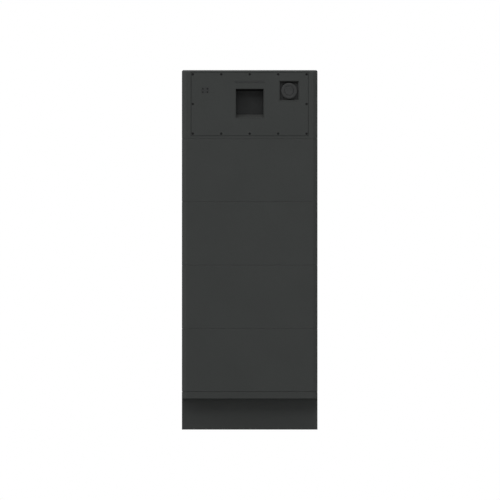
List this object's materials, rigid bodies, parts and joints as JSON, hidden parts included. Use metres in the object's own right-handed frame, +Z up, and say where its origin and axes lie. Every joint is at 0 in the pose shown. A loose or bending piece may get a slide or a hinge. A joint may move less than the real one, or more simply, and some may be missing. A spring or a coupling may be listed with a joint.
{
  "type": "stacked lithium-ion battery",
  "caption": "Floor-standing stacked home storage battery: equal modules on a recessed plinth, with a control box, start button and rear connector bay.",
  "frame": {"origin": "floor level under the middle of the footprint", "axes": "+Z up, front face towards -Y, +X to the right as seen from the front"},
  "size_m": [0.45, 0.4138, 1.193],
  "materials": {
    "case_paint": "fine-textured dark grey powder coat",
    "lid_plastic": "moulded, matte",
    "cell_can": "drawn can in clear film",
    "clamp_steel": "zinc plated sheet",
    "circuit_board": "solder mask",
    "zinc_steel": "bright zinc plate",
    "black_steel": "black oxide",
    "copper": "bare copper, slightly dull",
    "grip_plastic": "moulded, fine texture",
    "port_plastic": "moulded, matte",
    "button_plastic": "moulded, satin",
    "connector_plastic": "glass-filled nylon",
    "handle_plastic": "moulded, glossy red",
    "gasket_foam": "closed-cell foam",
    "lens_plastic": "smoked translucent",
    "spring_steel": "drawn wire",
    "brass": "turned",
    "contactor_plastic": "moulded"
  },
  "bodies": {
    "tower": {"base_deck": "case_paint", "button_collar": "grip_plastic", "button_recess": "grip_plastic", "button_spring": "spring_steel", "button_switch": "connector_plastic", "case_screws": "black_steel", "cell_links": "copper", "connector_bay": "connector_plastic", "contactors": "contactor_plastic", "control_board": "circuit_board", "control_case": "case_paint", "cover_gasket": "gasket_foam", "cover_screws": "black_steel", "data_ports": "connector_plastic", "earth_stud": "brass", "foot_housings": "zinc_steel", "front_cover": "case_paint", "grip_pocket": "grip_plastic", "isolator_body": "connector_plastic", "light_bar_board": "circuit_board", "light_bar_lens": "lens_plastic", "lock_plates": "case_paint", "main_fuse": "contactor_plastic", "module_1_case": "case_paint", "module_1_cells": "cell_can", "module_1_clamp_frame": "clamp_steel", "module_1_lid": "lid_plastic", "module_1_monitor_board": "circuit_board", "module_2_case": "case_paint", "module_2_cells": "cell_can", "module_2_clamp_frame": "clamp_steel", "module_2_lid": "lid_plastic", "module_2_monitor_board": "circuit_board", "module_3_case": "case_paint", "module_3_cells": "cell_can", "module_3_clamp_frame": "clamp_steel", "module_3_lid": "lid_plastic", "module_3_monitor_board": "circuit_board", "module_4_case": "case_paint", "module_4_cells": "cell_can", "module_4_clamp_frame": "clamp_steel", "module_4_lid": "lid_plastic", "module_4_monitor_board": "circuit_board", "plinth": "case_paint", "power_busbars": "copper", "power_sockets": "connector_plastic", "service_port_plate": "port_plastic", "service_port_screws": "black_steel", "side_grips": "grip_plastic", "stack_plugs": "connector_plastic", "stack_sockets": "connector_plastic", "wall_brackets": "black_steel"},
    "start_button": {"start_button": "button_plastic"},
    "isolator_handle": {"isolator_handle": "handle_plastic"},
    "foot_front_left": {"foot_front_left": "zinc_steel"},
    "foot_front_right": {"foot_front_right": "zinc_steel"},
    "foot_back_left": {"foot_back_left": "zinc_steel"},
    "foot_back_right": {"foot_back_right": "zinc_steel"}
  },
  "joints": [
    {"name": "start_button_press", "type": "slide", "parent": "tower", "child": "start_button", "axis": [0, 1, 0], "range_m": [0, 0.003], "stiffness_N_per_m": 900, "springref_m": -0.002, "deforming": ["button_spring"]},
    {"name": "isolator_turn", "type": "hinge", "parent": "tower", "child": "isolator_handle", "pos_m": [0.098, 0.15, 1.058], "axis": [0, 1, 0], "range_deg": [0, 90]},
    {"name": "front_left_level", "type": "slide", "parent": "tower", "child": "foot_front_left", "axis": [0, 0, 1], "range_m": [-0.012, 0]},
    {"name": "front_right_level", "type": "slide", "parent": "tower", "child": "foot_front_right", "axis": [0, 0, 1], "range_m": [-0.012, 0]},
    {"name": "back_left_level", "type": "slide", "parent": "tower", "child": "foot_back_left", "axis": [0, 0, 1], "range_m": [-0.012, 0]},
    {"name": "back_right_level", "type": "slide", "parent": "tower", "child": "foot_back_right", "axis": [0, 0, 1], "range_m": [-0.012, 0]}
  ]
}
